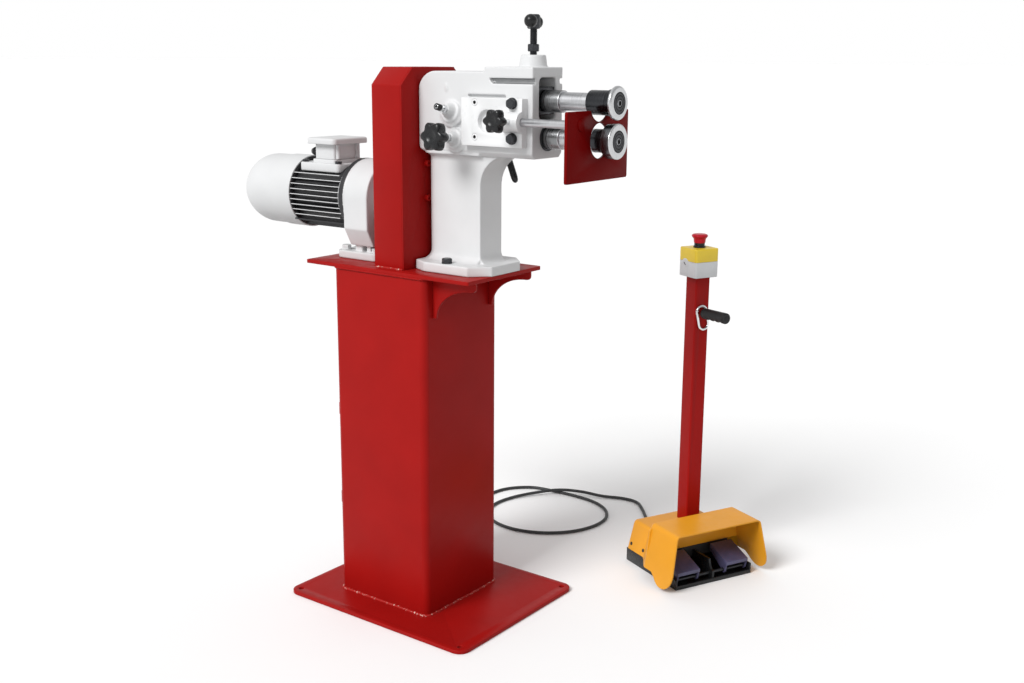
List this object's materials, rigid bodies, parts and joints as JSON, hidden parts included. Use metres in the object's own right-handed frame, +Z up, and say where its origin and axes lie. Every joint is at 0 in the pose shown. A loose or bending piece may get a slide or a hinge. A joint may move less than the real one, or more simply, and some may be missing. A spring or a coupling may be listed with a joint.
{
  "type": "bead roller",
  "caption": "Motor driven bead roller: cast head with geared roll shafts, sliding fence and pressure screw on a sheet steel pedestal, with a corded foot pedal console and stop button.",
  "frame": {"origin": "middle of the four floor bolt holes, on the underside of the base plate", "axes": "+X along the roll shafts towards the rolls, +Z up from the floor, +Y towards the side with the clamp lever"},
  "size_m": [1.0877, 0.9684, 1.2565],
  "materials": {
    "red_paint": "satin",
    "white_paint": "satin",
    "motor_black": "satin",
    "bright_steel": "polished",
    "tool_steel": "ground",
    "dark_steel": "satin",
    "bronze": "machined",
    "zinc": "satin",
    "black_plastic": "satin",
    "pedal_navy": "satin",
    "guard_yellow": "satin",
    "grey_plastic": "satin",
    "yellow_plastic": "satin",
    "red_plastic": "glossy",
    "cord_rubber": "matt"
  },
  "bodies": {
    "machine": {"base_plate": "red_paint", "column": "red_paint", "deck_plate": "red_paint", "door_hinges": "red_paint", "switchgear_panel": "zinc", "cable_glands": "black_plastic", "transmission_cover": "red_paint", "cover_plate": "red_paint", "gear_frame": "tool_steel", "shaft_bushes": "bronze", "gearbox": "white_paint", "motor_frame": "motor_black", "fan_cowl": "white_paint", "terminal_box": "white_paint", "terminal_lid": "white_paint", "head_casting": "white_paint", "hex_bolts": "dark_steel", "side_plate": "white_paint", "cap_screws": "dark_steel", "guide_screw": "dark_steel", "pedal_base": "black_plastic", "pedal_guard": "guard_yellow", "pedal_pin": "bright_steel", "pedal_switches": "black_plastic", "pedal_post": "red_paint", "stop_box": "grey_plastic", "stop_lid": "yellow_plastic", "grip_ring": "bright_steel", "hand_grip": "black_plastic", "pedal_cable": "cord_rubber"},
    "door": {"rear_door": "white_paint"},
    "latch": {"door_latch": "dark_steel"},
    "lower_drive": {"lower_shaft": "bright_steel", "lower_gear": "tool_steel", "lower_roll": "tool_steel", "lower_roll_screw": "dark_steel"},
    "upper_arm": {"bearing_block": "dark_steel", "rear_swivel_bush": "bronze"},
    "upper_drive": {"upper_shaft": "bright_steel", "upper_gear": "tool_steel", "upper_roll": "tool_steel", "upper_roll_screw": "dark_steel"},
    "idler": {"idler_gear": "tool_steel"},
    "output": {"output_shaft": "tool_steel", "drive_gear": "tool_steel"},
    "motor_shaft": {"motor_rotor": "tool_steel", "cooling_fan": "black_plastic"},
    "pad": {"thrust_pad": "tool_steel"},
    "screw": {"pressure_screw": "dark_steel", "lock_nut": "dark_steel"},
    "tommy": {"tommy_bar": "black_plastic"},
    "fence": {"stop_rod": "bright_steel", "fence_plate": "red_paint"},
    "fence_knob": {"small_star_knob": "black_plastic"},
    "head_knob": {"large_star_knob": "black_plastic"},
    "lever": {"clamp_lever": "black_plastic"},
    "left_pedal": {"left_pedal": "pedal_navy"},
    "right_pedal": {"right_pedal": "pedal_navy"},
    "stop": {"stop_button": "red_plastic"}
  },
  "joints": [
    {"name": "door_hinge", "type": "hinge", "parent": "machine", "child": "door", "pos_m": [-0.171, -0.0973, 0.3325], "axis": [0, 0, 1], "range_deg": [0, 110]},
    {"name": "latch_turn", "type": "hinge", "parent": "door", "child": "latch", "pos_m": [-0.17, 0.062, 0.3325], "axis": [-1, 0, 0], "range_deg": [0, 90]},
    {"name": "lower_spin", "type": "hinge", "parent": "machine", "child": "lower_drive", "pos_m": [0, 0, 1.025], "axis": [1, 0, 0], "continuous": true},
    {"name": "arm_tilt", "type": "hinge", "parent": "machine", "child": "upper_arm", "pos_m": [-0.0567, 0, 1.095], "axis": [0, -1, 0], "range_deg": [0, 1.71]},
    {"name": "upper_spin", "type": "hinge", "parent": "upper_arm", "child": "upper_drive", "pos_m": [0, 0, 1.095], "axis": [1, 0, 0], "continuous": true},
    {"name": "idler_spin", "type": "hinge", "parent": "machine", "child": "idler", "pos_m": [0, 0, 0.9525], "axis": [1, 0, 0], "continuous": true},
    {"name": "output_spin", "type": "hinge", "parent": "machine", "child": "output", "pos_m": [0, 0, 0.88], "axis": [1, 0, 0], "continuous": true},
    {"name": "rotor_spin", "type": "hinge", "parent": "machine", "child": "motor_shaft", "pos_m": [0, 0, 0.88], "axis": [1, 0, 0], "continuous": true},
    {"name": "pad_slide", "type": "slide", "parent": "machine", "child": "pad", "axis": [0, 0, 1], "range_m": [0, 0.0096]},
    {"name": "screw_turn", "type": "hinge", "parent": "pad", "child": "screw", "pos_m": [0.267, 0, 1.243], "axis": [0, 0, 1], "range_deg": [0, 1156]},
    {"name": "tommy_slide", "type": "slide", "parent": "screw", "child": "tommy", "axis": [-0.4848, 0.8746, 0], "range_m": [-0.024, 0.024]},
    {"name": "fence_slide", "type": "slide", "parent": "machine", "child": "fence", "axis": [1, 0, 0], "range_m": [-0.045, 0.018]},
    {"name": "fence_knob_turn", "type": "hinge", "parent": "machine", "child": "fence_knob", "pos_m": [0.27, -0.066, 1.056], "axis": [0, -0.9976, 0.0698], "range_deg": [0, 360]},
    {"name": "head_knob_turn", "type": "hinge", "parent": "machine", "child": "head_knob", "pos_m": [0.115, -0.05, 1.018], "axis": [0, -0.9945, 0.1045], "range_deg": [0, 360]},
    {"name": "lever_turn", "type": "hinge", "parent": "machine", "child": "lever", "pos_m": [0.143, 0.05, 1.025], "axis": [0, 1, 0], "range_deg": [-45, 45]},
    {"name": "left_pedal_press", "type": "hinge", "parent": "machine", "child": "left_pedal", "pos_m": [0.44081, 0.37678, 0.017], "axis": [-0.4226, -0.9063, 0], "range_deg": [0, 8], "stiffness_Nm_per_rad": 1.5, "springref_deg": -8.59},
    {"name": "right_pedal_press", "type": "hinge", "parent": "machine", "child": "right_pedal", "pos_m": [0.49914, 0.50185, 0.017], "axis": [-0.4226, -0.9063, 0], "range_deg": [0, 8], "stiffness_Nm_per_rad": 1.5, "springref_deg": -8.59},
    {"name": "stop_push", "type": "slide", "parent": "machine", "child": "stop", "axis": [0, 0, -1], "range_m": [0, 0.004], "stiffness_N_per_m": 1500, "springref_m": -0.002}
  ],
  "couplings": [
    {"joint": "upper_spin", "follows": "lower_spin", "ratio": -1},
    {"joint": "idler_spin", "follows": "lower_spin", "ratio": -0.93333},
    {"joint": "output_spin", "follows": "lower_spin", "ratio": 1},
    {"joint": "rotor_spin", "follows": "lower_spin", "ratio": 20},
    {"joint": "screw_turn", "follows": "pad_slide", "rad_per_m": 2094.4},
    {"joint": "arm_tilt", "follows": "pad_slide", "rad_per_m": 3.0897}
  ]
}
